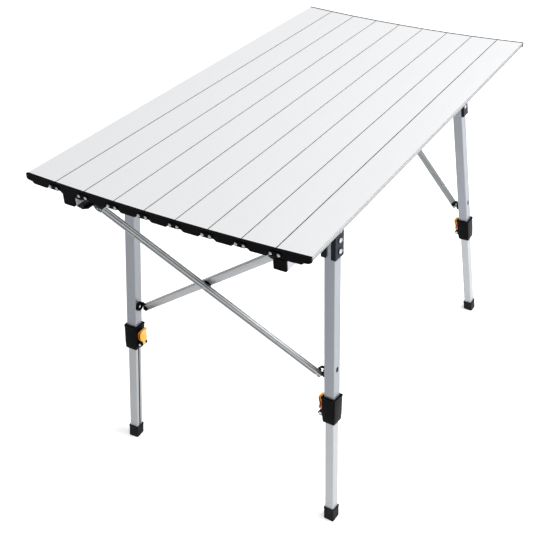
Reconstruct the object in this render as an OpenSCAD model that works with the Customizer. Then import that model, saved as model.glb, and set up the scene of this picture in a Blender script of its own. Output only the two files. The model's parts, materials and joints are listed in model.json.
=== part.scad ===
// Folding side table: a roll-up slat top that lies on a frame of two rails,
// four telescopic legs and one scissor brace across each end.
// Origin: on the floor under the middle of the top. X runs across the slats,
// Y along them, Z up. Everything is drawn once for the near right corner
// (x > 0, y < 0) and mirrored to the other three.

/* [Table top] */
// Number of slats, an odd number so that one lies in the middle
slat_count = 9; // [7:2:11]
// Distance from one slat to the next
slat_pitch = 57.2; // [50:0.1:60]
// Narrow gap between two slats
slat_gap = 1.2; // [0.8:0.1:1.6]
// Length of the aluminium slats
slat_length = 900; // [800:5:1000]
// Height of the top's long edges above the floor
top_height = 642; // [640:1:660]
// How far the middle of the top sags below its long edges
top_sag = 7; // [3:0.5:9]
// Thickness of a slat
slat_thick = 12; // [11:0.5:13]
// Wall of the slat extrusion
slat_wall = 1.3; // [1:0.1:1.6]
// Distance of a link rivet from the joint between two slats
rivet_inset = 6.5; // [6:0.1:7]

/* [Rails] */
// Distance of a rail's middle from the middle of the table
rail_x = 195; // [194:1:198]
// Width of the square rail tube
rail_w = 22; // [20:1:23]
// Height of the rail tube
rail_h = 20; // [18:1:21]
// Height of the rail tube's underside above the floor
rail_z = 590; // [590:1:592]
// Length of the rail tube
rail_length = 864; // [860:2:880]

/* [Legs] */
// Width of the square upper leg tube
upper_w = 20; // [20:0.5:21]
// Width of the square lower leg tube
lower_w = 17; // [16.5:0.1:17]
// Wall of both leg tubes
leg_wall = 1.2; // [1:0.1:1.3]
// Height of the clamp collar's top edge above the floor
collar_z = 264; // [255:1:270]
// Length of the clamp collar
collar_len = 54; // [52:1:56]
// Width of the clamp collar
collar_w = 26.2; // [25:0.1:27]
// Height of the rubber foot
foot_h = 24; // [20:1:28]
// Width of the rubber foot
foot_w = 20.6; // [20:0.1:21]

/* [Braces] */
// Width of a brace tube, measured in the plane of the scissor
brace_w = 15; // [13:0.5:16]
// Thickness of a brace tube
brace_t = 9; // [8:0.5:9]
// Radius of the ball on a brace's upper end
ball_r = 5; // [4.5:0.1:5]

/* [Hidden] */
$fn = 48;
tiny = 0.01;
play = 0.3;                       // clearance between pieces that move past each other
pin_play = 0.05;                  // radial running fit of every hinge pin
mid = (slat_count + 1) / 2;       // number of the middle slat
top_width = slat_count * slat_pitch;
SLATS = [for (i = [1:slat_count]) i];
ENDS = ["near", "far"];
SIDES = ["left", "right"];

// Corner data, index 0 for the near end and 1 for the far end. The far legs hang
// lower and further in than the near ones and their hinges are turned the other
// way, so that the legs of one side pass each other when they fold inward.
hinge_x = [197.6, 184];
hinge_y = [283.3, 286.4];
hinge_z = [576, 550];
hinge_yaw = [3.5, -3.5];
foot_x = 224.5;
foot_y = 351;
bolt_z = [[559, 540], [576]];     // heights of the screws in a near and a far hinge bracket
bracket_bottom = 530;

knuckle_h = [272, 256];           // brace knuckle below the leg hinge
knuckle_reach = 26;               // brace pivot inward of the leg's middle
track_x = [174, 144];             // resting place of the ball ends
track_y = [402, 415];
track_z = [590, 582];
brace_offset = brace_t / 2 + 1;   // a brace's middle from the scissor's middle plane

cheek_t = 3.5;
cheek_in = upper_w / 2 + play;    // inner face of a bracket cheek
pin_r = 3;
bolt_head_r = 4.4;
bolt_head_t = 1.8;
lever_pin_r = 2.2;
lug_out = collar_w / 2 + 4.8;     // lever pin from the leg's middle
lug_drop = 38;                    // lever pin below the collar's top edge
lug_r = 4.6;
lower_overlap = 74;               // lower tube inside the upper one at full height

// ---------------------------------------------------------------- points
function turn_x(a, v) = [v[0], v[1] * cos(a) - v[2] * sin(a), v[1] * sin(a) + v[2] * cos(a)];
function turn_y(a, v) = [v[0] * cos(a) + v[2] * sin(a), v[1], v[2] * cos(a) - v[0] * sin(a)];
function turn_z(a, v) = [v[0] * cos(a) - v[1] * sin(a), v[0] * sin(a) + v[1] * cos(a), v[2]];

function hinge_point(e) = [hinge_x[e], -hinge_y[e], hinge_z[e]];
function foot_ray(e) = turn_z(hinge_yaw[e], [foot_x, -foot_y, 0] - hinge_point(e));
function leg_length(e) = norm(foot_ray(e));
function splay(e) = atan2(foot_ray(e)[0], -foot_ray(e)[2]);
function lean(e) = asin(-foot_ray(e)[1] / leg_length(e));
function leg_point(e, v) =
    hinge_point(e) + turn_z(-hinge_yaw[e], turn_y(-splay(e), turn_x(-lean(e), v)));
function knuckle_point(e) = leg_point(e, [-knuckle_reach, 0, -knuckle_h[e]]);
function track_point(e) = [-track_x[e], -track_y[e], track_z[e]];
function brace_ray(e) = track_point(e) - knuckle_point(e);
function brace_length(e) = norm(brace_ray(e));
function brace_pitch(e) = atan2(-brace_ray(e)[1], brace_ray(e)[2]);
function brace_tilt(e) = atan2(-brace_ray(e)[0], norm([brace_ray(e)[1], brace_ray(e)[2]]));
// distance along a brace from its knuckle to the middle of the table
function brace_cross(e) = brace_length(e) * knuckle_point(e)[0] / -brace_ray(e)[0];
// distance down the leg's own axis from its hinge to a height above the floor
function drop_to(e, z) = (hinge_z[e] - z) / (hinge_z[e] / leg_length(e));

function slat_x(i) = (i - mid) * slat_pitch;
function slat_z(i) = top_height - top_sag * (1 - pow(2 * slat_x(i) / top_width, 2));
function slat_tilt(i) = atan(8 * top_sag * slat_x(i) / pow(top_width, 2));
rivet_x = slat_pitch / 2 - rivet_inset;
rivet_z = -7.5;
function rivet_point(i, s) =
    [slat_x(i), 0, slat_z(i)] + turn_y(-slat_tilt(i), [s * rivet_x, 0, rivet_z]);

// ---------------------------------------------------------------- frames
module flip_x(on) {
    if (on) mirror([1, 0, 0]) children();
    else children();
}

module flip_y(on) {
    if (on) mirror([0, 1, 0]) children();
    else children();
}

// The corner at end e (0 near, 1 far) and side s (0 left, 1 right)
module corner(e, s) {
    flip_x(s == 0) flip_y(e == 1) children();
}

// Hinge of a leg: the leg hangs down -Z, +X points outward, -Y to the table's end
module leg_frame(e) {
    translate(hinge_point(e))
        rotate([0, 0, -hinge_yaw[e]])
            rotate([0, -splay(e), 0])
                rotate([-lean(e), 0, 0])
                    children();
}

// Plane of the scissor at the knuckle: X across the table, Z up the plane
module scissor_frame(e) {
    translate(knuckle_point(e)) rotate([brace_pitch(e), 0, 0]) children();
}

module slat_frame(i) {
    translate([slat_x(i), 0, slat_z(i)]) rotate([0, -slat_tilt(i), 0]) children();
}

module both_ends() {
    children();
    mirror([0, 1, 0]) children();
}

// ---------------------------------------------------------------- shapes
module round_rect(w, d, r) {
    square([w - 2 * r, d], center = true);
    square([w, d - 2 * r], center = true);
    for (x = [-1, 1], y = [-1, 1])
        translate([x * (w / 2 - r), y * (d / 2 - r)]) circle(r);
}

// A rounded box that hangs from z = -from down to z = -to
module hanging_block(w, d, r, from, to) {
    translate([0, 0, -to]) linear_extrude(to - from) round_rect(w, d, r);
}

module x_rod(r, from, to) {
    translate([from, 0, 0]) rotate([0, 90, 0]) cylinder(r = r, h = to - from);
}

module y_rod(r, from, to) {
    translate([0, from, 0]) rotate([-90, 0, 0]) cylinder(r = r, h = to - from);
}

// Extrude an outline drawn in X and Z along Y
module along_y(from, to) {
    translate([0, to, 0]) rotate([90, 0, 0]) linear_extrude(to - from) children();
}

// ---------------------------------------------------------------- table top
slat_half = (slat_pitch - slat_gap) / 2;
slat_step = 3.5;                  // the underside is this much narrower on each side
slat_lip = 5;                     // height of the full-width upper part
groove = 0.7;

module slat_outline(inset) {
    a = slat_half - inset;
    b = slat_half - slat_step - inset;
    polygon([
        [-a, -inset], [a, -inset], [a, -slat_lip + inset], [b, -slat_lip - 2 + inset / 2],
        [b, -slat_thick + inset], [-b, -slat_thick + inset],
        [-b, -slat_lip - 2 + inset / 2], [-a, -slat_lip + inset],
    ]);
}

module slat(i) {
    color("gainsboro") slat_frame(i)
        along_y(-slat_length / 2, slat_length / 2)
            difference() {
                slat_outline(0);
                slat_outline(slat_wall);
                for (s = [-1, 1])
                    translate([s * slat_half, -2.4]) square([2 * groove, 1], center = true);
            }
}

cap_proud = 4.6;                  // the cap stands out past the slat's end
cap_half = slat_pitch / 2 - play;
link_t = 1.3;
link_r = 4;
rivet_r = 1.5;

module cap_outline() {
    polygon([
        [-cap_half, 0], [cap_half, 0], [cap_half, -8.5], [24, -10.6], [17, -11.2],
        [13, -14.5], [-13, -14.5], [-17, -11.2], [-24, -10.6], [-cap_half, -8.5],
    ]);
}

module rivet_holes() {
    for (s = [-1, 1])
        translate([s * rivet_x, 0, rivet_z])
            y_rod(rivet_r, -slat_length, -slat_length / 2);
}

module end_cap(i) {
    end = -slat_length / 2;
    difference() {
        union() {
            slat_frame(i) along_y(end - cap_proud, end) cap_outline();
            slat_frame(i) along_y(end - 1, end + 12) slat_outline(slat_wall + 0.1);
        }
        slat_frame(i) rivet_holes();
    }
}

// Rivet through the cap, with a round head outside the link
module link_rivet(i, s) {
    end = -slat_length / 2 - cap_proud;
    slat_frame(i) translate([s * rivet_x, 0, rivet_z]) {
        y_rod(rivet_r, end - link_t - 0.4, end + cap_proud);
        y_rod(2.2, end - link_t - 1, end - link_t - 0.35);
    }
}

// Link from slat i to slat j, held by slat i and pivoting on the rivet of slat j
module link(i, j) {
    end = -slat_length / 2 - cap_proud;
    s = j > i ? 1 : -1;
    a = rivet_point(i, s);
    b = rivet_point(j, -s);
    run = b - a;
    difference() {
        translate(a) rotate([0, atan2(run[0], run[2]) - 90, 0])
            along_y(end - link_t, end - 0.1) {
                circle(link_r);
                translate([norm(run), 0]) circle(link_r);
                translate([0, -link_r]) square([norm(run), 2 * link_r]);
            }
        translate(a) y_rod(rivet_r, end - 10, end + 10);
        translate(b) y_rod(rivet_r + pin_play, end - 10, end + 10);
    }
}

// Pads under the second and the last but one slat, which rest on the rails' flanges
rest_w = 11;
rest_length = 30;

module rests(i) {
    side = i < mid ? -1 : 1;
    for (y = [-360, 0, 360])
        difference() {
            translate([side * (rail_x - rest_w + 1) - rest_w / 2, y - rest_length / 2,
                       flange_top + play])
                cube([rest_w, rest_length, slat_thick]);
            slat_frame(i)
                translate([-slat_pitch, y - rest_length, -slat_thick])
                    cube([2 * slat_pitch, 2 * rest_length, 2 * slat_thick]);
        }
}

// Both end caps of a slat, the rivets in them, and the links to the outer neighbour
module end_caps(i) {
    color("black") {
        both_ends() {
            end_cap(i);
            if (i > 1) link_rivet(i, -1);
            if (i < slat_count) link_rivet(i, 1);
            if (i >= mid && i < slat_count) link(i, i + 1);
            if (i <= mid && i > 1) link(i, i - 1);
        }
        if (i == 2 || i == slat_count - 1) rests(i);
    }
}

// ---------------------------------------------------------------- rails
rail_top = rail_z + rail_h;
flange_top = 622.6;
flange_w = 32;
flange_t = 2.5;
rail_wall = 1.5;

module rail(s) {
    color("silver") flip_x(s == 0)
        translate([rail_x, 0, 0])
            along_y(-rail_length / 2, rail_length / 2)
                difference() {
                    union() {
                        translate([0, rail_z + rail_h / 2]) round_rect(rail_w, rail_h, 1.5);
                        translate([-7, rail_top - 1]) square([14, flange_top - rail_top]);
                        translate([-flange_w / 2, flange_top - flange_t])
                            square([flange_w, flange_t]);
                    }
                    translate([0, rail_z + rail_h / 2])
                        square([rail_w - 2 * rail_wall, rail_h - 2 * rail_wall], center = true);
                    translate([-5.5, rail_top])
                        square([11, flange_top - flange_t - rail_top]);
                }
}

module rail_plugs(s) {
    color("black") flip_x(s == 0) both_ends()
        translate([rail_x, 0, 0]) {
            along_y(-rail_length / 2 - 4, -rail_length / 2)
                translate([0, rail_z + rail_h / 2]) round_rect(rail_w, rail_h, 2);
            along_y(-rail_length / 2 - 1, -rail_length / 2 + 16)
                translate([0, rail_z + rail_h / 2])
                    square([rail_w - 2 * rail_wall - 0.2, rail_h - 2 * rail_wall - 0.2],
                           center = true);
        }
}

// Track for the ball end of a brace: a shelf above the ball on the rail's inner
// face, and a lip below it that hangs from the rail's underside
track_plate = 2.2;
track_gap = [[11, 11], [8.5, 11]]; // free height from the ball's middle to lip and shelf
track_span = [[27, 19], [34, 14]]; // reach toward the table's end and toward its middle
track_lip = [4, 6.5];             // the lip starts this far outward of the ball's middle

module brace_track(e) {
    face = rail_x - rail_w / 2;
    low = track_z[e] - track_gap[e][0] - track_plate;
    along_y(-track_y[e] - track_span[e][0], -track_y[e] + track_span[e][1]) {
        translate([track_x[e] - 6, track_z[e] + track_gap[e][1]])
            square([face - track_x[e] + 6, track_plate]);
        translate([track_x[e] + track_lip[e], low])
            square([face + 1 - track_x[e] - track_lip[e], track_plate]);
        translate([face + 0.3, low]) square([track_plate, rail_z - low]);
    }
}

module brace_tracks(s) {
    color("dimgray") flip_x(s == 0) {
        brace_track(0);
        mirror([0, 1, 0]) brace_track(1);
    }
}

// Hinge bracket under a rail: two cheeks beside the leg, joined by strips that
// wrap round to its outer face and stop it, and open toward the table's middle
module bracket_shape(e) {
    out = cheek_in + cheek_t;
    difference() {
        union() {
            leg_frame(e)
                translate([-out, -upper_w / 2 - cheek_t, -hinge_z[e]])
                    cube([2 * out, upper_w + cheek_t + 1, 2 * hinge_z[e]]);
            translate([rail_x - rail_w / 2, -hinge_y[e] - 17, rail_z - 8])
                cube([rail_w, 34, 8]);
        }
        leg_frame(e) {
            translate([-cheek_in, -upper_w / 2 - play, -hinge_z[e]])
                cube([2 * cheek_in, 2 * upper_w, hinge_z[e] + upper_w / 2 + 1.5]);
            translate([-5, -upper_w, -hinge_z[e]]) cube([10, upper_w, hinge_z[e] - 9]);
        }
        translate([-500, -900, rail_z]) cube([1000, 1800, 900]);
        translate([-500, -900, bracket_bottom - 1000]) cube([1000, 1800, 1000]);
        bracket_bores(e);
    }
}

module bracket_bores(e) {
    leg_frame(e)
        for (z = concat(hinge_z[e], bolt_z[e]))
            translate([0, 0, z - hinge_z[e]]) x_rod(pin_r, -40, 40);
}

module hinge_brackets(s) {
    color("darkslategray") flip_x(s == 0) {
        bracket_shape(0);
        mirror([0, 1, 0]) bracket_shape(1);
    }
}

// The hinge pin with its two heads, and a short screw in every other hole
module bracket_bolt_set(e) {
    out = cheek_in + cheek_t;
    leg_frame(e) {
        x_rod(pin_r, -out - bolt_head_t, out + bolt_head_t);
        for (s = [-1, 1]) {
            flip_x(s < 0) x_rod(bolt_head_r, out, out + bolt_head_t);
            for (z = bolt_z[e]) translate([0, 0, z - hinge_z[e]])
                flip_x(s < 0) {
                    x_rod(pin_r, cheek_in, out + bolt_head_t);
                    x_rod(bolt_head_r, out, out + bolt_head_t);
                }
        }
    }
}

module bracket_bolts(s) {
    color("silver") flip_x(s == 0) {
        bracket_bolt_set(0);
        mirror([0, 1, 0]) bracket_bolt_set(1);
    }
}

// ---------------------------------------------------------------- legs
slot_rise = 14;                   // oval hole in the outer wall, above the knuckle
slot_r = 2.5;
slot_half = 2;                    // from the oval's middle to the centre of either end

module upper_leg_shape(e) {
    stop = drop_to(e, collar_z) + 30;
    difference() {
        union() {
            hanging_block(upper_w, upper_w, 1.5, 0, stop);
            x_rod(upper_w / 2, -upper_w / 2, upper_w / 2);
        }
        hanging_block(upper_w - 2 * leg_wall, upper_w - 2 * leg_wall, 0.6, -upper_w, stop + 1);
        x_rod(pin_r + pin_play, -upper_w, upper_w);
        // hole for the knuckle's pin in the inner wall
        translate([0, 0, -knuckle_h[e]]) {
            x_rod(pin_r + pin_play, -upper_w, 0);
            translate([0, 0, slot_rise]) hull()
                for (z = [-slot_half, slot_half]) translate([0, 0, z]) x_rod(slot_r, 0, upper_w);
        }
    }
}

module upper_leg(e, s) {
    color("silver") corner(e, s) leg_frame(e) upper_leg_shape(e);
}

// Clamp collar: square sleeve with raised rims and two ears for the lever's pin
module collar_shape(e) {
    top = drop_to(e, collar_z);
    difference() {
        union() {
            hanging_block(collar_w + 1.4, collar_w + 1.4, 2.5, top, top + 5);
            hanging_block(collar_w, collar_w, 3, top + 5 - tiny, top + collar_len - 8);
            hanging_block(collar_w - 1.4, collar_w - 1.4, 3,
                          top + collar_len - 8 - tiny, top + collar_len);
            for (y = [-6.3, 6.3])
                translate([0, y, -top - lug_drop]) {
                    translate([-lug_out, 0, 0]) y_rod(lug_r, -2.1, 2.1);
                    translate([-lug_out, -2.1, -lug_r])
                        cube([lug_out - upper_w / 2 - 1, 4.2, 2 * lug_r]);
                }
        }
        hanging_block(upper_w, upper_w, 1.5, top - 1, top + 30);
        hanging_block(lower_w + 0.6, lower_w + 0.6, 1.2, top, top + collar_len + 1);
        translate([-lug_out, 0, -top - lug_drop]) y_rod(lever_pin_r, -20, 20);
    }
    // the lever's pin, pressed into the ears
    translate([-lug_out, 0, -top - lug_drop]) y_rod(lever_pin_r, -8.9, 8.9);
}

module collar(e, s) {
    color("black") corner(e, s) leg_frame(e) collar_shape(e);
}

// Cam lever: a paddle with a hollow outer face, on a boss between the ears
lever_boss_half = 3.8;
lever_half = 9;
lever_len = 44;

module lever_shape(e) {
    top = drop_to(e, collar_z);
    translate([-lug_out, 0, -top - lug_drop])
        difference() {
            union() {
                y_rod(lug_r - 0.2, -lever_boss_half, lever_boss_half);
                along_y(-lever_boss_half, lever_boss_half)
                    translate([-3.5, 0]) square([6, 9]);
                along_y(-lever_half, lever_half)
                    difference() {
                        translate([-4.6, 5.4]) square([8.2, lever_len - 5.4]);
                        translate([-25.5, 24]) circle(24.5, $fn = 96);
                    }
            }
            y_rod(lever_pin_r + pin_play, -20, 20);
        }
}

module lever(e, s) {
    color("orange") corner(e, s) leg_frame(e) lever_shape(e);
}

// Lower tube, with a groove down its inner face
foot_floor = 6;                   // rubber below the tube

module lower_tube_shape(e) {
    end = leg_length(e) - foot_floor;
    start = drop_to(e, collar_z) + collar_len - lower_overlap;
    difference() {
        hanging_block(lower_w, lower_w, 1.2, start, end);
        hanging_block(lower_w - 2 * leg_wall, lower_w - 2 * leg_wall, 0.5, start - 1, end + 1);
        translate([-lower_w / 2 - 1, -1.4, -end - 1]) cube([1.7, 2.8, end - start + 2]);
    }
}

module lower_leg(e, s) {
    color("lightgray") corner(e, s) leg_frame(e) lower_tube_shape(e);
}

module foot(e, s) {
    top = leg_length(e) - foot_h;
    color("black") corner(e, s)
        difference() {
            leg_frame(e) {
                hanging_block(foot_w + 0.8, foot_w + 0.8, 2, top, top + 3);
                hanging_block(foot_w, foot_w, 2, top + 3 - tiny, leg_length(e) + 9);
            }
            leg_frame(e)
                hanging_block(lower_w, lower_w, 1.2, top - 1, leg_length(e) - foot_floor);
            translate([0, -foot_y - 60, -60]) cube([400, 120, 60]);
        }
}

// ---------------------------------------------------------------- braces
knuckle_disc_r = 8.5;
knuckle_disc_t = 4;
knuckle_eye_r = 7;
knuckle_eye_t = 4.6;
brace_end = 8;                    // brace tube past its knuckle pin
ball_neck = 24;                   // end of the tube to the middle of the ball

// The knuckle swivels on the leg's inner face; side +1 keeps its eye on the
// outer side of the scissor's middle plane, -1 on the inner side
module knuckle(e, s) {
    side = s == 1 ? 1 : -1;
    face = -upper_w / 2 - 0.1;
    color("black") corner(e, s) {
        leg_frame(e) translate([0, 0, -knuckle_h[e]]) {
            x_rod(knuckle_disc_r, face - knuckle_disc_t, face);
            x_rod(pin_r, -upper_w / 2 - 2, -upper_w / 2 + leg_wall);
        }
        scissor_frame(e) {
            translate([0, side > 0 ? -0.6 : 0.6 - knuckle_eye_t, 0]) {
                y_rod(knuckle_eye_r, 0, knuckle_eye_t);
                translate([0, 0, -5]) cube([13, knuckle_eye_t, 10]);
            }
            // the pin, which ends flush with the brace's far face
            y_rod(2.5, side > 0 ? -brace_t - 1 : -1, side > 0 ? 1 : brace_t + 1);
        }
    }
}

module brace_frame(e, s) {
    corner(e, s) scissor_frame(e) rotate([0, -brace_tilt(e), 0])
        translate([0, s == 1 ? -brace_offset : brace_offset, 0])
            children();
}

module brace(e, s) {
    length = brace_length(e);
    color("silver") brace_frame(e, s)
        difference() {
            translate([0, 0, -brace_end])
                linear_extrude(length - ball_neck + brace_end)
                    difference() {
                        round_rect(brace_w, brace_t, 1.2);
                        square([brace_w - 2.4, brace_t - 2.4], center = true);
                    }
            y_rod(2.5 + pin_play, -brace_t, brace_t);
        }
}

// Ball end, and half of the rivet where the two braces cross
module brace_fittings(e, s) {
    length = brace_length(e);
    in = s == 1 ? 1 : -1;         // toward the other brace
    color("black") brace_frame(e, s) {
        translate([0, 0, length - ball_neck - 22])
            linear_extrude(22) square([brace_w - 2.6, brace_t - 2.6], center = true);
        translate([0, 0, length - ball_neck])
            linear_extrude(5) round_rect(brace_w, brace_t, 1.2);
        translate([-3, in > 0 ? -3.5 : -brace_offset - 2.5, length - ball_neck + 4])
            cube([6, brace_offset + 6, ball_neck - 5]);
        translate([0, in * brace_offset, length]) sphere(ball_r, $fn = 40);
        translate([0, 0, brace_cross(e)]) {
            flip_y(in < 0) {
                y_rod(6.5, brace_t / 2, brace_t / 2 + 0.8);
                y_rod(3.6, -brace_t / 2 - 1.4, -brace_t / 2);
            }
        }
    }
}

// ---------------------------------------------------------------- nodes
function corner_name(prefix, e, s) = str(prefix, "_", ENDS[e], "_", SIDES[s]);
CORNERS = [for (e = [0, 1]) for (s = [0, 1]) [e, s]];
CORNER_PARTS = ["upper_leg", "collar", "lever", "lower_leg", "foot", "knuckle", "brace",
                "brace_fittings"];
SIDE_PARTS = ["rail", "rail_plugs", "brace_tracks", "hinge_brackets", "bracket_bolts"];

for (i = SLATS) {
    slat(i);
    end_caps(i);
}
for (s = [0, 1]) {
    rail(s);
    rail_plugs(s);
    brace_tracks(s);
    hinge_brackets(s);
    bracket_bolts(s);
}
for (c = CORNERS) {
    e = c[0];
    s = c[1];
    upper_leg(e, s);
    collar(e, s);
    lever(e, s);
    lower_leg(e, s);
    foot(e, s);
    knuckle(e, s);
    brace(e, s);
    brace_fittings(e, s);
}
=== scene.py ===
import json
import math

import bmesh
import bpy
from mathutils import Matrix, Vector


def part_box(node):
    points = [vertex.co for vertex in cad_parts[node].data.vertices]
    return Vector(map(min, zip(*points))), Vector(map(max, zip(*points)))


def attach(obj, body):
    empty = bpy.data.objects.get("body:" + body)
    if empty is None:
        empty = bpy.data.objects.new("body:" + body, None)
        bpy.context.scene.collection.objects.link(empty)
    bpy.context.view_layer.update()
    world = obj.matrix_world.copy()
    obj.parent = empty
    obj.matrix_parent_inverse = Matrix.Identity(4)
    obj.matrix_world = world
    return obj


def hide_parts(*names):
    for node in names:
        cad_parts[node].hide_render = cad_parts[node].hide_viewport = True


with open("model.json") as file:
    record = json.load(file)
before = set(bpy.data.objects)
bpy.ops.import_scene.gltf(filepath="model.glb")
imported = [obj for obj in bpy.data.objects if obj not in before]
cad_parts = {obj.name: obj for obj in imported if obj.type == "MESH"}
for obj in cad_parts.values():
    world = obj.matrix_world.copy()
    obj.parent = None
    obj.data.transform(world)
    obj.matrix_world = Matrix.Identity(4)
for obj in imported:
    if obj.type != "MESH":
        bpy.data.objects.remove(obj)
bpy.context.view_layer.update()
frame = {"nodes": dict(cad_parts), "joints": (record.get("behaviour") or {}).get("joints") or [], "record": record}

MM = 0.001
ENDS = ("near", "far")
SIDES = ("left", "right")
CORNERS = [(e, s) for e in ENDS for s in SIDES]
SLATS = range(1, 10)
UPPER_HALF = 10.0         # mm, half the width of an upper leg
KNUCKLE_FACE = -10.1      # mm, where a knuckle's disc lies against its leg
PIN_HALF = 8.45           # mm, from a lever pin's middle to the underside of its heads
SLOT_RISE = 14.0          # mm from a knuckle's middle up to the oval hole
CHEEK_FACE = 13.8         # mm from a leg's middle to a bracket's side face
FLANGE_FROM = 531.5       # mm, underside of the flanges on the far brackets' cheeks
SCREW_HEIGHTS = {"near": (559, 540), "far": (576,)}   # mm above the floor
JOINTS = {j["name"]: j for j in frame["joints"]}
BODY_OF = {n: b for b, nodes in frame["record"]["behaviour"]["bodies"].items() for n in nodes}


# ------------------------------------------------------------ materials
class Nodes:
    """A small wrapper that makes and joins shader nodes."""

    def __init__(self, name):
        self.mat = bpy.data.materials.new(name)
        self.mat.use_nodes = True
        self.tree = self.mat.node_tree
        self.shader = self.tree.nodes["Principled BSDF"]
        self.coords = self.add("ShaderNodeTexCoord").outputs["Object"]

    def add(self, kind, **settings):
        node = self.tree.nodes.new(kind)
        for key, value in settings.items():
            setattr(node, key, value)
        return node

    def link(self, a, b):
        self.tree.links.new(a, b)

    def set(self, **values):
        for key, value in values.items():
            self.shader.inputs[key.replace("_", " ")].default_value = value

    def noise(self, scale, stretch=(1, 1, 1), detail=4.0, rough=0.55):
        mapping = self.add("ShaderNodeMapping")
        mapping.inputs["Scale"].default_value = stretch
        noise = self.add("ShaderNodeTexNoise")
        noise.inputs["Scale"].default_value = scale
        noise.inputs["Detail"].default_value = detail
        noise.inputs["Roughness"].default_value = rough
        self.link(self.coords, mapping.inputs["Vector"])
        self.link(mapping.outputs[0], noise.inputs["Vector"])
        return noise.outputs["Fac"]

    def ramp(self, fac, low, high, at=(0.3, 0.7)):
        ramp = self.add("ShaderNodeValToRGB")
        for element, pos, colour in zip(ramp.color_ramp.elements, at, (low, high)):
            element.position = pos
            element.color = (*colour, 1)
        self.link(fac, ramp.inputs["Fac"])
        return ramp.outputs["Color"]

    def spread(self, fac, low, high):
        node = self.add("ShaderNodeMapRange")
        node.inputs["From Min"].default_value = 0.3
        node.inputs["From Max"].default_value = 0.7
        node.inputs["To Min"].default_value = low
        node.inputs["To Max"].default_value = high
        self.link(fac, node.inputs["Value"])
        return node.outputs[0]

    def mix(self, fac, a, b):
        node = self.add("ShaderNodeMix", data_type="RGBA")
        node.inputs["Factor"].default_value = fac
        self.link(a, node.inputs["A"])
        self.link(b, node.inputs["B"])
        return node.outputs["Result"]

    def bump(self, *layers):
        normal = None
        for height, strength, distance in layers:
            node = self.add("ShaderNodeBump")
            node.inputs["Strength"].default_value = strength
            node.inputs["Distance"].default_value = distance
            self.link(height, node.inputs["Height"])
            if normal is not None:
                self.link(normal, node.inputs["Normal"])
            normal = node.outputs["Normal"]
        self.link(normal, self.shader.inputs["Normal"])


def shade(colour, factor):
    return tuple(min(1.0, c * factor) for c in colour)


def aluminium(name, colour, rough, along, metallic=1.0, tone=0.05):
    """Satin anodised extrusion: fine draw lines along it, a cloudy tone, small scuffs."""
    n = Nodes(name)
    stretch = [1.0, 1.0, 1.0]
    stretch["XYZ".index(along)] = 0.012
    lines = n.noise(1400, stretch, 5.0, 0.7)
    clouds = n.noise(9, (1, 1, 1), 3.0)
    scuffs = n.noise(260, [0.3 if k < 1 else 1.0 for k in stretch], 8.0, 0.75)
    fine = n.ramp(lines, shade(colour, 1 - tone), shade(colour, 1 + tone))
    broad = n.ramp(clouds, shade(colour, 1 - tone / 2), shade(colour, 1 + tone / 2))
    n.link(n.mix(0.5, fine, broad), n.shader.inputs["Base Color"])
    add = n.add("ShaderNodeMath", operation="ADD")
    n.link(n.spread(lines, rough - 0.05, rough + 0.05), add.inputs[0])
    n.link(n.spread(scuffs, -0.015, 0.015), add.inputs[1])
    n.link(add.outputs[0], n.shader.inputs["Roughness"])
    n.set(Metallic=metallic)
    n.bump((lines, 0.05, 0.00003), (scuffs, 0.008, 0.00003))
    return n.mat


def plastic(name, colour, rough, grain=2600, depth=0.25, specular=0.5):
    """Moulded plastic with spark-eroded grain, faint flow clouds and handling marks."""
    n = Nodes(name)
    fine = n.noise(grain, (1, 1, 1), 3.0)
    flow = n.noise(35, (1, 1, 1), 4.0)
    marks = n.noise(420, (1, 1, 0.2), 8.0, 0.8)
    base = n.ramp(flow, shade(colour, 0.85), shade(colour, 1.18))
    worn = n.ramp(marks, shade(colour, 1.0), shade(colour, 1.5), (0.62, 0.8))
    n.link(n.mix(0.35, base, worn), n.shader.inputs["Base Color"])
    add = n.add("ShaderNodeMath", operation="ADD")
    n.link(n.spread(fine, rough - 0.05, rough + 0.05), add.inputs[0])
    n.link(n.spread(marks, 0.04, -0.05), add.inputs[1])
    n.link(add.outputs[0], n.shader.inputs["Roughness"])
    n.shader.inputs["Specular IOR Level"].default_value = specular
    n.bump((fine, depth, 0.00006), (marks, 0.06, 0.00005))
    return n.mat


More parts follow.
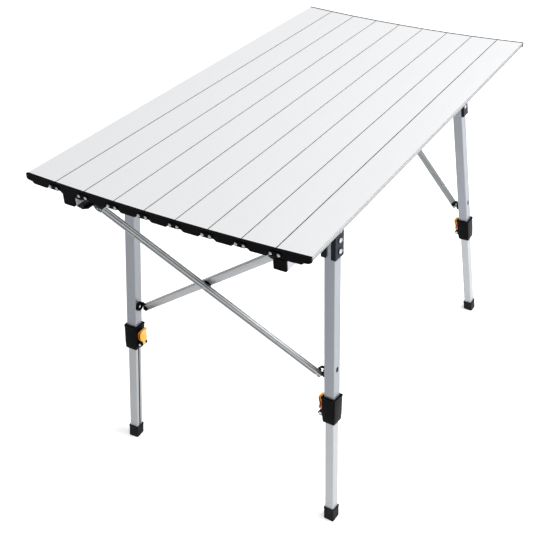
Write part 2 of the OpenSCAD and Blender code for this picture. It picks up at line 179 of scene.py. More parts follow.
MAT = {
    "slat_aluminium": aluminium("slat_satin", (0.85, 0.85, 0.85), 0.42, "Y", 0.55, 0.02),
    # painted shade: a darker copy of the slat aluminium for the outermost slats' long sides
    "slat_side_painted_shade": aluminium("slat_side_painted_shade_satin", (0.22, 0.225, 0.23), 0.38, "Y", 0.6),
    "frame_aluminium": aluminium("rail_satin", (0.34, 0.35, 0.365), 0.36, "Y", 0.8),
    "leg_aluminium": aluminium("leg_satin", (0.235, 0.25, 0.27), 0.32, "Z", 0.6),
    "lower_leg_aluminium": aluminium("lower_leg_bright", (0.35, 0.36, 0.37), 0.38, "Z", 0.6, 0.03),
    "brace_aluminium": aluminium("brace_satin", (0.34, 0.35, 0.355), 0.30, "Z", 0.7),
    "cap_plastic": plastic("cap_black", (0.0025, 0.0025, 0.0028), 0.42, specular=0.02),
    "collar_plastic": plastic("collar_black", (0.0025, 0.0027, 0.003), 0.34, specular=0.03),
    "bracket_plastic": plastic("bracket_navy", (0.005, 0.007, 0.012), 0.36, specular=0.08),
    "socket_plastic": plastic("socket_grey", (0.008, 0.009, 0.011), 0.34, specular=0.12),
    "lever_plastic": plastic("lever_orange", (0.90, 0.36, 0.018), 0.33, 1800, 0.08),
    # painted shade: dark red for the inside of the lever's recesses
    "lever_recess_painted_shade": plastic("lever_recess_painted_shade_red", (0.42, 0.040, 0.003), 0.40, 1800, 0.08),
    "screw_steel": aluminium("screw_zinc", (0.46, 0.47, 0.49), 0.24, "Z"),
    "rivet_steel": aluminium("rivet_zinc", (0.33, 0.34, 0.35), 0.30, "Z"),
    "foot_rubber": plastic("foot_black", (0.004, 0.004, 0.0045), 0.60, 1500, 0.5, 0.10),
    # painted shade: near-black for the slat joints, the oval holes, the lower tubes' grooves and the brace grooves
    "shadow_gap": plastic("painted_shade_near_black", (0.004, 0.004, 0.0045), 0.55, specular=0.08),
}


# ------------------------------------------------------------ meshes
def finish_mesh(name, bm, materials, sharp=32):
    """Turns a bmesh into an object with outward normals and smooth curved faces."""
    bmesh.ops.recalc_face_normals(bm, faces=bm.faces)
    mesh = bpy.data.meshes.new(name)
    bm.to_mesh(mesh)
    bm.free()
    for key in materials:
        mesh.materials.append(MAT[key])
    mesh.polygons.foreach_set("use_smooth", [True] * len(mesh.polygons))
    mesh.set_sharp_from_angle(angle=math.radians(sharp))
    obj = bpy.data.objects.new(name, mesh)
    bpy.context.scene.collection.objects.link(obj)
    return obj


def round_edges(bm, width, segments=2, over=28):
    edges = [e for e in bm.edges if len(e.link_faces) == 2
             and e.calc_face_angle(0) > math.radians(over)]
    bmesh.ops.bevel(bm, geom=edges, offset=width, offset_type="OFFSET", segments=segments,
                    profile=0.6, affect="EDGES", clamp_overlap=True)


def from_cad(node, materials, width=0.0004, segments=2, paint=None):
    """A CAD node's shape with its edges broken by a small radius and flat faces kept
    flat; paint gives the material number of a face from its middle and normal."""
    bm = bmesh.new()
    bm.from_mesh(frame["nodes"][node].data)
    bmesh.ops.remove_doubles(bm, verts=bm.verts, dist=2e-6)
    bmesh.ops.dissolve_limit(bm, angle_limit=math.radians(0.6), verts=bm.verts, edges=bm.edges)
    round_edges(bm, width, segments)
    if paint:
        for face in bm.faces:
            face.material_index = paint(face.calc_center_median(), face.normal)
    obj = finish_mesh(f"{node}_skin", bm, materials)
    obj.modifiers.new("flat_faces", "WEIGHTED_NORMAL").keep_sharp = True
    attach(obj, BODY_OF[node])
    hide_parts(node)
    return obj


def loft(bm, rings, index=0, caps=True, closed=False):
    """Skins rings of points; a closed loft joins its last ring to its first."""
    rows = [[bm.verts.new(p) for p in ring] for ring in rings]
    count = len(rows[0])
    faces = []
    for a, b in zip(rows, rows[1:] + (rows[:1] if closed else [])):
        for i in range(count):
            j = (i + 1) % count
            faces.append(bm.faces.new((a[i], a[j], b[j], b[i])))
    if caps and not closed:
        faces.append(bm.faces.new(rows[0][::-1]))
        faces.append(bm.faces.new(rows[-1]))
    for f in faces:
        f.material_index = index
    return faces


def turned(bm, profile, centre=(0, 0, 0), axis="X", count=28, index=0):
    """Revolves a list of (radius, height) about an axis through centre."""
    rings = []
    for r, h in profile:
        ring = []
        for k in range(count):
            a = 2 * math.pi * k / count
            p = (r * math.cos(a), r * math.sin(a), h)
            if axis == "X":
                p = (p[2], p[0], p[1])
            elif axis == "Y":
                p = (p[1], p[2], p[0])
            ring.append([c + q for c, q in zip(centre, p)])
        rings.append(ring)
    return loft(bm, rings, index)


def rounded(w, d, r, z, x0=0.0, y0=0.0, steps=5):
    """A rounded rectangle, w along X and d along Y, at height z."""
    points = []
    for cx, cy, start in ((1, 1, 0), (-1, 1, 90), (-1, -1, 180), (1, -1, 270)):
        for k in range(steps + 1):
            a = math.radians(start + 90 * k / steps)
            points.append((x0 + cx * (w / 2 - r) + r * math.cos(a),
                           y0 + cy * (d / 2 - r) + r * math.sin(a), z))
    return points


def slab(bm, outline, start, stop, axis="Y", index=0):
    """Extrudes an outline of (a, b) points along an axis, a and b on the other two."""
    def at(a, b, h):
        return {"X": (h, a, b), "Y": (a, h, b), "Z": (a, b, h)}[axis]
    return loft(bm, [[at(a, b, h) for a, b in outline] for h in (start, stop)], index)


def block(bm, x, y, z, index=0):
    return slab(bm, [(x[0], y[0]), (x[1], y[0]), (x[1], y[1]), (x[0], y[1])], *z, "Z", index)


def disc_points(r, a0, a1, steps, centre=(0, 0)):
    return [(centre[0] + r * math.cos(math.radians(a0 + (a1 - a0) * k / steps)),
             centre[1] + r * math.sin(math.radians(a0 + (a1 - a0) * k / steps)))
            for k in range(steps + 1)]


def seat(target, local, matrix, mirror):
    """Adds a part drawn in millimetres in a local frame to a piece in the row frame."""
    bmesh.ops.scale(local, vec=(MM, -MM if mirror else MM, MM), verts=local.verts)
    bmesh.ops.transform(local, matrix=matrix, verts=local.verts)
    mesh = bpy.data.meshes.new("part")
    local.to_mesh(mesh)
    local.free()
    target.from_mesh(mesh)
    bpy.data.meshes.remove(mesh)


def cut(obj, tool_bm):
    """Takes the tool's volume out of a piece's mesh."""
    mesh = bpy.data.meshes.new("tool")
    bmesh.ops.recalc_face_normals(tool_bm, faces=tool_bm.faces)
    tool_bm.to_mesh(mesh)
    tool_bm.free()
    tool = bpy.data.objects.new("tool", mesh)
    bpy.context.scene.collection.objects.link(tool)
    modifier = obj.modifiers.new("cut", "BOOLEAN")
    modifier.operation, modifier.solver, modifier.object = "DIFFERENCE", "EXACT", tool
    bpy.context.view_layer.update()
    result = bpy.data.meshes.new_from_object(
        obj.evaluated_get(bpy.context.evaluated_depsgraph_get()))
    obj.modifiers.clear()
    obj.data = result
    bpy.data.objects.remove(tool)


def placed(name, bm, materials, matrix, mirror, body, nodes=(), sharp=32):
    """Drawn in millimetres in a local frame: scales, mirrors across Y if asked, and seats."""
    bmesh.ops.scale(bm, vec=(MM, MM, MM), verts=bm.verts)
    if mirror:
        bmesh.ops.scale(bm, vec=(1, -1, 1), verts=bm.verts)
    obj = finish_mesh(name, bm, materials, sharp)
    obj.matrix_world = matrix
    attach(obj, body)
    if nodes:
        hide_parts(*nodes)
    return obj


# ------------------------------------------------------------ frames
def leg_frame(end, side):
    """(matrix, mirrored): X outward from the leg, Y to the table's middle, Z up the leg,
    with its origin on the leg's hinge."""
    fold = JOINTS[f"leg_fold_{end}_{side}"]
    up = Vector(JOINTS[f"leg_slide_{end}_{side}"]["axis"]).normalized()
    out = Vector(fold["axis"]).normalized() * (1 if side == "right" else -1)
    if out.x * (1 if side == "right" else -1) < 0:
        out = -out
    middle = up.cross(out)
    mirror = middle.y * (1 if end == "near" else -1) < 0
    m = Matrix((out, middle, up)).transposed().to_4x4()
    m.translation = Vector(fold["pos_m"])
    return m, mirror


def local_box(node, matrix):
    """Lowest and highest corner of a CAD node in a local frame, in millimetres."""
    inverse = matrix.inverted()
    points = [inverse @ v.co / MM for v in frame["nodes"][node].data.vertices]
    return [(min(p[k] for p in points), max(p[k] for p in points)) for k in range(3)]


# ------------------------------------------------------------ table top
def slat_paint(i):
    """0 on top and below, 1 on the outermost long edges and 2 inside the joints, both painted shade."""
    def paint(middle, normal):
        outermost = (i == SLATS[0] and normal.x < 0) or (i == SLATS[-1] and normal.x > 0)
        if abs(normal.x) < (0.6 if outermost else 0.2):
            return 0
        return 1 if outermost else 2
    return paint


# painted shade: the slats' inner joint sides get the near-black shadow_gap material
for i in SLATS:
    from_cad(f"slat_{i}", ["slat_aluminium", "slat_side_painted_shade", "shadow_gap"], 0.0006, 3,
             slat_paint(i))
    from_cad(f"end_caps_{i}", ["cap_plastic"], 0.00035)


def rivet_places(i):
    """Middles of the rivet heads of a slat's end caps, at its near end, in metres."""
    mesh = frame["nodes"][f"end_caps_{i}"].data
    outer = min(v.co.y for v in mesh.vertices)
    heads = []
    for v in mesh.vertices:
        if v.co.y < outer + 0.0001:
            for group in heads:
                if (group[0] - v.co).length < 0.006:
                    group.append(v.co.copy())
                    break
            else:
                heads.append([v.co.copy()])
    return [Vector((sum(p.x for p in g) / len(g), outer, sum(p.z for p in g) / len(g)))
            for g in heads]


def rivet_head(bm, x, y, z, out, r=2.6, h=1.1):
    """A domed rivet head with a flat rim; out is -1 or +1 along Y."""
    profile = [(r, 0.0), (r, h * 0.25), (r * 0.93, h * 0.5), (r * 0.72, h * 0.78),
               (r * 0.4, h * 0.95), (r * 0.12, h)]
    turned(bm, [(q, out * t) for q, t in profile], (x, y, z), "Y", 20)


for i in SLATS:
    bm = bmesh.new()
    for place in rivet_places(i):
        for out in (-1, 1):
            rivet_head(bm, place.x / MM, out * (abs(place.y) / MM - 0.7), place.z / MM, out)
    placed(f"cap_rivets_{i}", bm, ["rivet_steel"], Matrix.Identity(4), False,
           BODY_OF[f"end_caps_{i}"])


# ------------------------------------------------------------ frame under the top
def slotted_screw(bm, slots, x, z, out, radius=4.4):
    """A pan head with a screwdriver slot, on a face at x that looks along out (+-1)."""
    profile = [(radius, 0.0), (radius, 0.7), (radius - 0.3, 1.2), (radius - 1.2, 1.65),
               (radius - 2.6, 1.85), (0.4, 1.9)]
    turned(bm, [(r, out * h) for r, h in profile], (x, 0, z), "X", 32)
    lean = math.radians(24)
    half, wide = (radius - 0.5), 0.6
    along = Vector((math.sin(lean), math.cos(lean))) * half
    side = Vector((math.cos(lean), -math.sin(lean))) * wide
    corners = [along + side, along - side, -along - side, -along + side]
    slab(slots, [(c.x, z + c.y) for c in corners], x + out * 1.0, x + out * 3.0, "X")


def screw_boss(bm, x, z, out, radius=6.3):
    profile = [(radius, -0.4), (radius, 0.35), (radius - 0.35, 0.75), (radius - 1.1, 0.8),
               (radius - 1.4, 0.35), (radius - 1.9, 0.3), (radius - 2.0, -0.4)]
    turned(bm, [(r, out * h) for r, h in profile], (x, 0, z), "X", 32)


RAIL_FACE, RAIL_UNDER, SHEET = 184.0, 590.0, 2.2   # mm: inner face, underside, sheet
# (along the rail), (lip's edge, height), (shelf's edge, height), taper; near end, far end
TRACKS = (((-429, -383), (178.0, 576.8), (168.0, 601.0), 9.0),
          ((401, 449), (150.5, 571.3), (138.0, 593.0), 9.0))

for s in SIDES:
    from_cad(f"rail_{s}", ["frame_aluminium"], 0.0005)
    from_cad(f"hinge_brackets_{s}", ["bracket_plastic"], 0.0009, 3)

    # tracks for the braces' ball ends: a ribbed shelf, and a tapered lip on a gusset
    bm = bmesh.new()
    for track in TRACKS:
        (y0, y1), (lip, low), (shelf, high), taper = track
        slab(bm, [(RAIL_FACE, y0), (RAIL_FACE, y1), (shelf + taper, y1),
                  (shelf + 0.3 * taper, y1 - 0.25 * taper), (shelf, y1 - 0.8 * taper),
                  (shelf, y0 + 0.8 * taper), (shelf + 0.3 * taper, y0 + 0.25 * taper),
                  (shelf + taper, y0)], high, high + SHEET, "Z")
        rib = [(RAIL_FACE, high + SHEET - 0.4), (RAIL_FACE, high + SHEET + 6.5),
               (RAIL_FACE - 3, high + SHEET + 6.5), (shelf + taper, high + SHEET + 0.6),
               (shelf + taper, high + SHEET - 0.4)]
        for y in (y0 + 0.6, (y0 + y1 - SHEET) / 2, y1 - 0.6 - SHEET):
            slab(bm, rib, y, y + SHEET, "Y")
        gusset = [(y0, RAIL_UNDER), (y1, RAIL_UNDER), (y1, RAIL_UNDER - 3),
                  (y1 - taper, low), (y0 + taper, low), (y0, RAIL_UNDER - 3)]
        slab(bm, gusset, RAIL_FACE + 0.3, RAIL_FACE + 0.3 + SHEET, "X")
        slab(bm, [(RAIL_FACE + 1, y0 + taper), (RAIL_FACE + 1, y1 - taper),
                  (lip, y1 - 1.6 * taper), (lip, y0 + 1.6 * taper)], low, low + SHEET, "Z")
    if s == "left":
        bmesh.ops.scale(bm, vec=(-1, 1, 1), verts=bm.verts)
    round_edges(bm, 0.4)
    placed(f"ball_tracks_{s}", bm, ["socket_plastic"], Matrix.Identity(4), False,
           f"frame_{s}", [f"brace_tracks_{s}"])

    # end plugs with a raised border round a sunk face
    low, high = (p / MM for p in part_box(f"rail_plugs_{s}"))
    bm = bmesh.new()
    for e, out in (("near", -1), ("far", 1)):
        w, h = high.x - low.x, high.z - low.z
        x, z, y = (low.x + high.x) / 2, (low.z + high.z) / 2, out * high.y
        sections = ((w, h, 2.0, -4.0), (w + 0.3, h + 0.3, 2.2, -3.4),
                    (w + 0.3, h + 0.3, 2.2, -0.7), (w - 0.5, h - 0.5, 2.0, -0.1),
                    (w - 1.4, h - 1.4, 1.7, 0.0), (w - 4.2, h - 4.2, 1.2, 0.0),
                    (w - 5.0, h - 5.0, 1.0, -0.5))
        loft(bm, [[(x + px, y + out * t, z + pz) for px, pz, _ in rounded(a, b, r, 0)]
                  for a, b, r, t in sections])
        stub = rounded(w - 3.4, h - 3.4, 0.8, 0)
        loft(bm, [[(x + px, y + out * t, z + pz) for px, pz, _ in stub] for t in (-19.0, -4.0)])
    placed(f"rail_plugs_{s}_caps", bm, ["cap_plastic"], Matrix.Identity(4), False,
           f"frame_{s}", [f"rail_plugs_{s}"])

    # leg bracket screws and the bosses round them
    heads, slots, bosses, flanges = bmesh.new(), bmesh.new(), bmesh.new(), bmesh.new()
    for e in ENDS:
        matrix, mirror = leg_frame(e, s)
        face = CHEEK_FACE
        hinge_z = matrix.translation.z / MM
        parts = bmesh.new(), bmesh.new(), bmesh.new()
        for other in (0, *(z - hinge_z for z in SCREW_HEIGHTS[e])):
            for out in (-1, 1):
                slotted_screw(parts[0], parts[1], out * (face + 0.3), other, out)
                screw_boss(parts[2], out * face, other, out)
                if other:
                    turned(parts[0], [(3.0, 0), (3.0, out * (face - 10.4))],
                           (out * 10.4, 0, other), "X", 24)
        turned(parts[0], [(3.0, -face), (3.0, face)], (0, 0, 0), "X", 24)
        if e == "far":
            part = bmesh.new()
            for out in (-1, 1):
                low, high = FLANGE_FROM - hinge_z, RAIL_UNDER - hinge_z - 0.5
                outline = [(out * (face - 0.4), low), (out * (face + 2.2), low),
                           (out * (face + 3.6), low + 3), (out * (face + 3.6), high),
                           (out * (face - 0.4), high)]
                slab(part, outline, 8.4, 11.4, "Y")
            round_edges(part, 0.7)
            seat(flanges, part, matrix, mirror)
        for whole, part in zip((heads, slots, bosses), parts):
            seat(whole, part, matrix, mirror)
    screws = finish_mesh(f"bracket_screws_{s}", heads, ["screw_steel"])
    cut(screws, slots)
    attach(screws, f"frame_{s}")
    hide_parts(f"bracket_bolts_{s}")
    for piece, bm in (("bosses", bosses), ("flanges", flanges)):
        obj = finish_mesh(f"bracket_{piece}_{s}", bm, ["bracket_plastic"])
        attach(obj, f"frame_{s}")


# ------------------------------------------------------------ legs
def collar(bm, top, length, pin):
    """Clamp sleeve: crisp lip with a thin step under it, and sides that taper down."""
    sections = ((27.8, 0.0), (28.5, 0.4), (28.5, 2.2), (28.2, 2.5), (27.0, 2.6), (26.9, 3.5),
                (27.3, 3.8), (27.2, 8.0), (26.0, length - 16), (24.8, length - 5.5),
                (24.2, length - 3.4), (22.0, length - 2.0))
    rings = [rounded(w, w, 2.2, top - drop) for w, drop in sections]
    inner = ((17.7, length - 2.0), (17.7, 30.2), (20.1, 30.0), (20.1, 0.0))
    rings += [rounded(w, w, 1.4, top - drop) for w, drop in inner]
    loft(bm, rings, closed=True)
    for y in (-6.3, 6.3):
        ear = disc_points(4.9, 60, 300, 20, (pin.x, pin.z))
        ear += [(-11.0, pin.z - 9.5), (-11.0, pin.z + 7.0)]
        slab(bm, ear, y - 2.1, y + 2.1, "Y")


def lever(bm, pin):
    """Cam lever: a C-shaped hood that is hollow toward the hand, with a deep recess in
    each flank inside a raised rim, on a tab between the ears; the recesses are dark red, painted shade."""
    steps, low, tall = 16, 7.0, 25.5
    turned(bm, [(4.3, -3.7), (4.3, 3.7)], (pin.x, 0, pin.z), "Y", 28)
    slab(bm, [(pin.x - 3.6, pin.z), (pin.x + 2.8, pin.z), (pin.x + 2.4, pin.z + 11),
              (pin.x - 4.2, pin.z + 9)], -3.6, 3.6, "Y")

    def ring(inset, side, depth):
        points = []
        for k in range(2 * steps + 2):
            back = k > steps
            t = (2 * steps + 1 - k if back else k) / steps
            curve = (2 * t - 1) ** 2
            reach = -4.3 + 5.6 * curve + inset if back else 2.3 + 2.9 * curve - inset
            half = 9.3 * min(1.0, 0.60 + 2.4 * t, 0.78 + 2.2 * (1 - t))
            points.append((pin.x - reach, side * (half - depth),
                           pin.z + low + 0.7 * inset + (tall - 1.4 * inset) * t))
        return points

    rings = [ring(1.3, -1, 2.6), ring(1.3, -1, 0.0), ring(0.5, -1, 0.0), ring(0.0, -1, 0.5),
             ring(0.0, 1, 0.5), ring(0.5, 1, 0.0), ring(1.3, 1, 0.0), ring(1.3, 1, 2.6)]
    faces = loft(bm, rings)
    count = len(rings[0])
    # painted shade: the recessed flank faces and their ends get the dark red
    for number, face in enumerate(faces):
        if number < count or number >= 6 * count:
            face.material_index = 1


for e, s in CORNERS:
    name = f"{e}_{s}"
    matrix, mirror = leg_frame(e, s)
    to_local = matrix.inverted()
    from_cad(f"upper_leg_{name}", ["leg_aluminium"], 0.0006, 3)
    from_cad(f"lower_leg_{name}", ["lower_leg_aluminium"], 0.0005, 3)
    from_cad(f"foot_{name}", ["foot_rubber"], 0.0009, 3)

    pin = to_local @ Vector(JOINTS[f"lever_open_{name}"]["pos_m"]) / MM
    top, bottom = local_box(f"collar_{name}", matrix)[2][::-1]
    bm = bmesh.new()
    collar(bm, top, top - bottom, pin)
    placed(f"clamp_collar_{name}", bm, ["collar_plastic"], matrix, mirror, f"upper_leg_{name}",
           [f"collar_{name}"])

    bm = bmesh.new()
    profile = [(2.2, -9.0), (2.2, 0.0), (2.9, 0.05), (2.9, 0.5), (2.5, 0.9), (1.2, 1.15),
               (0.3, 1.2)]
    for out in (-1, 1):
        turned(bm, [(r, out * (PIN_HALF + h)) for r, h in profile], (pin.x, 0, pin.z), "Y", 24)
    placed(f"lever_pin_{name}", bm, ["screw_steel"], matrix, mirror, f"upper_leg_{name}")

    bm = bmesh.new()
    lever(bm, pin)
    placed(f"clamp_lever_{name}", bm, ["lever_plastic", "lever_recess_painted_shade"], matrix, mirror,
           f"lever_{name}", [f"lever_{name}"], 50)

    # painted shade: a dark plug inside the oval hole in the outer wall; painted highlight: its punched rim in the
    # lighter lower-leg aluminium
    middle = local_box(f"knuckle_{name}", matrix)[2]
    middle = (middle[0] + middle[1]) / 2 + SLOT_RISE
    shadow, rim = bmesh.new(), bmesh.new()
    block(shadow, (UPPER_HALF - 1.1, UPPER_HALF - 0.7), (-3.2, 3.2), (middle - 5.4, middle + 5.4))

    def oval(r, x):
        half = [(x, r * math.cos(math.radians(a)), middle + 1.6 + r * math.sin(math.radians(a)))
                for a in range(0, 181, 15)]
        return half + [(x, -y, 2 * middle - z) for _, y, z in half]

    loft(shadow, [oval(3.7, UPPER_HALF + x) for x in (-0.4, 0.06)])
    loft(rim, [oval(r, UPPER_HALF + x) for r, x in
               ((4.5, -0.3), (4.5, 0.05), (4.2, 0.3), (3.8, 0.3), (3.7, 0.1), (3.7, -0.3))],
         closed=True)
    placed(f"slot_shadow_{name}", shadow, ["shadow_gap"], matrix, mirror, f"upper_leg_{name}")
    # painted highlight: the punched rim uses the lighter lower-leg aluminium
    placed(f"slot_rim_painted_highlight_{name}", rim, ["lower_leg_aluminium"], matrix, mirror,
           f"upper_leg_{name}")

    # painted shade: a dark strip along the groove in the lower tube's inner side
    (x0, _), _, (z0, z1) = local_box(f"lower_leg_{name}", matrix)
    bm = bmesh.new()
    block(bm, (x0 - 0.12, x0 + 0.7), (-1.9, 1.9), (z0 + 1, z1 - 1))
    # painted shade: the strip stands in for the shade inside the groove
    placed(f"groove_painted_shade_strip_{name}", bm, ["shadow_gap"], matrix, mirror, f"lower_leg_{name}")


# ------------------------------------------------------------ braces
def brace_frame(e, s):
    """(matrix, tube box): Z up the brace from its knuckle pin, Y along that pin."""
    joint = JOINTS[f"brace_turn_{e}_{s}"]
    mesh = frame["nodes"][f"brace_{e}_{s}"].data
    origin = Vector(joint["pos_m"])
    pin = Vector(joint["axis"]).normalized()
    points = [v.co - origin for v in mesh.vertices]
    ahead = max(points, key=lambda p: p.length)
    ahead = (ahead - pin * ahead.dot(pin)).normalized()
    for _ in range(2):
        reach = max(p.dot(ahead) for p in points)
        tips = [p for p in points if p.dot(ahead) > reach - 0.0005]
        ahead = sum(tips, Vector()) / len(tips)
        ahead = (ahead - pin * ahead.dot(pin)).normalized()
    m = Matrix((pin.cross(ahead), pin, ahead)).transposed().to_4x4()
    m.translation = origin
    return m, local_box(f"brace_{e}_{s}", m)


CROSSING_BELOW = 300              # mm along a brace; its other fittings lie past this


def fit_middle(name, matrix):
    """Height along a brace of the rivet where it crosses the other one."""
    mesh = frame["nodes"][f"brace_fittings_{name}"].data
    inv = matrix.inverted()
    heights = [z for z in ((inv @ v.co).z / MM for v in mesh.vertices)
               if z < CROSSING_BELOW]
    return (min(heights) + max(heights)) / 2


def channel(w, d, groove, deep, side, r=1.0):
    """Tube outline, w by d, with a groove along the broad face on one side."""
    g, h, k = groove / 2, d / 2, w / 2
    corner = [(k, h - r), (k - 0.3 * r, h - 0.3 * r), (k - r, h)]
    grooved = corner + [(g + 0.7, h), (g, h - deep)]
    grooved += [(-x, y) for x, y in reversed(grooved)]
    plain = [(x, -y) for x, y in corner]
    outline = grooved + [(-x, y) for x, y in plain] + plain[::-1]
    return [(x, side * y) for x, y in outline]


def rod(bm, start, end, radius, count=24, round_end=0.0):
    """A cylinder between two points, with its far rim rounded off if asked."""
    start, end = Vector(start), Vector(end)
    along = (end - start).normalized()
    across = along.orthogonal().normalized()
    up = along.cross(across)
    stations = [(start, radius)]
    if round_end:
        stations += [(end - along * round_end * (1 - math.sin(a)),
                      radius - round_end * (1 - math.cos(a)))
                     for a in (math.radians(d) for d in (0, 30, 60, 90))]
    else:
        stations.append((end, radius))
    loft(bm, [[c + (across * math.cos(2 * math.pi * k / count)
                    + up * math.sin(2 * math.pi * k / count)) * r for k in range(count)]
              for c, r in stations])


def strap(bm, path, thick, y0, y1):
    """A bent strip: its middle line goes through (x, z) points, its width along Y."""
    path = [Vector(p) for p in path]
    sides = []
    for k, p in enumerate(path):
        run = (path[min(k + 1, len(path) - 1)] - path[max(k - 1, 0)]).normalized()
        sides.append(Vector((-run.y, run.x)) * thick / 2)
    outline = [p + n for p, n in zip(path, sides)] + [p - n for p, n in zip(path, sides)][::-1]
    slab(bm, [tuple(p) for p in outline], y0, y1, "Y")


BRACE_W, BRACE_D = 12.6, 8.0      # seen section of a brace tube
TUBE_ON = 12                      # the tube runs this far on into its end socket
NECK = 24                         # from the CAD tube's end to the ball's middle

for e, s in CORNERS:
    name = f"{e}_{s}"
    matrix, ((x0, x1), (y0, y1), (z0, z1)) = brace_frame(e, s)
    cx, cy = (x0 + x1) / 2, (y0 + y1) / 2
    face = -1 if cy < 0 else 1                        # the tube's side away from the other
    cy = face * (abs(cy) - 0.3)
    bm = bmesh.new()
    outer = channel(BRACE_W, BRACE_D, 4.6, 1.1, face)
    inner = [(x * (BRACE_W - 2.8) / BRACE_W, y * (BRACE_D - 4.2) / BRACE_D) for x, y in outer]
    loft(bm, [[(cx + x, cy + y, z) for x, y in ring] for ring, z in
              ((outer, z0), (outer, z1 + TUBE_ON), (inner, z1 + TUBE_ON), (inner, z0))],
         closed=True)
    placed(f"brace_tube_{name}", bm, ["brace_aluminium"], matrix, False, f"brace_{name}",
           [f"brace_{name}"], 25)

    # painted shade: dark lines down both sides of the tube's groove and on its narrow sides
    bm = bmesh.new()
    y = cy + face * (BRACE_D / 2 - 1.05)
    for x in (-1.75, 1.75):
        block(bm, (cx + x - 0.55, cx + x + 0.55), (y - 0.15, y + 0.15), (z0 + 1, z1))
    for out in (-1, 1):
        for y in (cy - 2.0, cy + 2.0):
            edge = cx + out * BRACE_W / 2
            block(bm, (edge - 0.1, edge + 0.1), (y - 0.5, y + 0.5), (z0 + 1, z1))
    # painted shade: these lines stand in for the shade along the groove and the narrow sides
    placed(f"brace_painted_shade_lines_{name}", bm, ["shadow_gap"], matrix, False, f"brace_{name}")

    # socket over the brace's upper end, its rivets, and the ball on it
    bm = bmesh.new()
    end = z1 + TUBE_ON
    sections = ((14.6, 9.8, end - 9), (15.2, 10.4, end - 8.4), (15.2, 10.4, end - 1),
                (13.4, 9.6, end + 2), (8.6, 8.0, end + 7), (6.6, 6.4, end + 8))
    loft(bm, [rounded(a, b, 1.5, z, cx, cy) for a, b, z in sections])
    placed(f"brace_socket_{name}", bm, ["socket_plastic"], matrix, False, f"brace_{name}")
    bm = bmesh.new()
    for out in (-1, 1):
        for x, z in ((4.2, end - 6.4), (-4.2, end - 6.4), (0, end - 1.8)):
            rivet_head(bm, cx + x, cy + out * 5.1, z, out, 1.8, 0.8)
    rivet_head(bm, cx, cy + face * BRACE_D / 2, fit_middle(name, matrix), face, 2.6, 1.3)
    placed(f"brace_rivets_{name}", bm, ["rivet_steel"], matrix, False, f"brace_{name}")
    bm = bmesh.new()
    low, high = sorted((cy, 0.0))
    block(bm, (-3, 3), (low - 2.5, high + 2.5), (end + 4, z1 + NECK - 1))
    bmesh.ops.create_uvsphere(bm, u_segments=28, v_segments=18, radius=5,
                              matrix=Matrix.Translation((0, 0, z1 + NECK)))
    middle = fit_middle(name, matrix)
    rod(bm, (0, cy - face * (BRACE_D / 2 - 0.1), middle), (0, 0.2 * face, middle), 8.2, 32, 0.4)
    placed(f"ball_end_{name}", bm, ["cap_plastic"], matrix, False, f"brace_{name}",
           [f"brace_fittings_{name}"])

    # knuckle: a ringed disc on the leg, and a hook to the pin in the brace's end
    leg, mirror = leg_frame(e, s)
    pin = leg.inverted() @ matrix.translation / MM
    if mirror:
        pin.y = -pin.y
    whole = bmesh.new()
    part = bmesh.new()
    turned(part, [(9.0, 0.0), (9.0, -1.6), (8.6, -2.0), (8.4, -4.4), (7.9, -4.8), (6.3, -4.8),
                  (5.9, -4.4), (5.7, -1.8), (0.2, -1.8)], (KNUCKLE_FACE, 0, pin.z), "X", 36)
    strap(part, [(-12.2, pin.z + 6.6), (-14.6, pin.z + 8.2), (-18.0, pin.z + 8.8),
                 (-21.8, pin.z + 7.8), (-24.6, pin.z + 5.2), (pin.x, pin.z + 0.6)],
          3.4, min(pin.y, 0) - 1.2, max(pin.y, 0) + 2.4)
    seat(whole, part, leg, mirror)
    part = bmesh.new()
    rod(part, (0, face * 0.6, 0), (0, -face * 3.0, 0), 4.0, 28, 0.5)
    rod(part, (0, face * 8.9, 0), (0, -face * 1.0, 0), 2.4)
    seat(whole, part, matrix, False)
    obj = finish_mesh(f"knuckle_hook_{name}", whole, ["cap_plastic"])
    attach(obj, f"knuckle_{name}")
    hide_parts(f"knuckle_{name}")
    whole = bmesh.new()
    part = bmesh.new()
    turned(part, [(2.9, -1.0), (2.9, -2.6), (2.3, -3.4), (1.0, -3.8), (0.2, -3.85)],
           (KNUCKLE_FACE, 0, pin.z), "X", 24)
    seat(whole, part, leg, mirror)
    part = bmesh.new()
    rivet_head(part, 0, face * 9.2, 0, face, 2.4, 0.9)
    seat(whole, part, matrix, False)
    obj = finish_mesh(f"knuckle_pins_{name}", whole, ["screw_steel"])
    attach(obj, f"knuckle_{name}")


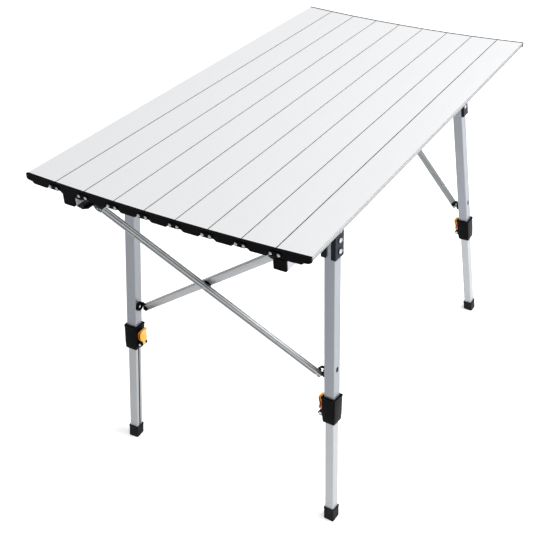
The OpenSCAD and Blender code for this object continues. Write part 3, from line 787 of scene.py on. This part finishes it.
# ------------------------------------------------------------ floor
floor_mat = Nodes("studio_floor")
tone = floor_mat.noise(2.0, (1, 1, 1), 2.0)
floor_mat.link(floor_mat.ramp(tone, (0.93, 0.93, 0.935), (0.95, 0.95, 0.95)),
               floor_mat.shader.inputs["Base Color"])
floor_mat.set(Roughness=0.9, Emission_Strength=0.30, Emission_Color=(1, 1, 1, 1))
bm = bmesh.new()
bmesh.ops.create_grid(bm, x_segments=8, y_segments=8, size=12)
mesh = bpy.data.meshes.new("floor")
bm.to_mesh(mesh)
bm.free()
mesh.materials.append(floor_mat.mat)
floor = bpy.data.objects.new("floor", mesh)
bpy.context.scene.collection.objects.link(floor)


# ------------------------------------------------------------ light
world = bpy.data.worlds.new("studio")
bpy.context.scene.world = world
world.use_nodes = True
world.node_tree.nodes["Background"].inputs["Color"].default_value = (0.97, 0.98, 1.0, 1)
world.node_tree.nodes["Background"].inputs["Strength"].default_value = 0.62
bpy.context.scene.view_settings.view_transform = "Standard"


def softbox(name, at, target, size, power):
    data = bpy.data.lights.new(name, "AREA")
    data.shape = "RECTANGLE"
    data.size, data.size_y = size
    data.energy = power
    obj = bpy.data.objects.new(name, data)
    obj.location = at
    obj.rotation_mode = "QUATERNION"
    obj.rotation_quaternion = (Vector(at) - Vector(target)).to_track_quat("Z", "Y")
    bpy.context.scene.collection.objects.link(obj)


softbox("key_light", (2.6, 0.4, 1.6), (0, 0, 0.4), (1.6, 1.6), 68)
softbox("top_light", (1.5, 1.2, 2.6), (0.1, 0.1, 0.6), (1.8, 1.8), 68)
softbox("fill_light", (-2.6, -2.4, 1.6), (0, 0, 0.4), (2.0, 2.0), 12)


# ------------------------------------------------------------ camera
AZIMUTH, ELEVATION, ROLL = (math.radians(a) for a in (28.05, 32.16, -0.33))
back = Vector((math.sin(AZIMUTH) * math.cos(ELEVATION),
               -math.cos(AZIMUTH) * math.cos(ELEVATION), math.sin(ELEVATION)))
right = Vector((math.cos(AZIMUTH), math.sin(AZIMUTH), 0))
up = back.cross(right)
right, up = (right * math.cos(ROLL) + up * math.sin(ROLL),
             up * math.cos(ROLL) - right * math.sin(ROLL))
camera_data = bpy.data.cameras.new("camera")
camera_data.sensor_width = 36
camera_data.lens = 57.88
camera_data.shift_x, camera_data.shift_y = -0.12, -0.0913
camera_data.clip_start, camera_data.clip_end = 0.05, 50
camera = bpy.data.objects.new("camera", camera_data)
camera.matrix_world = Matrix((right, up, back)).transposed().to_4x4()
camera.location = (0.7531, -1.2988, 1.3100)
bpy.context.scene.collection.objects.link(camera)
bpy.context.scene.camera = camera
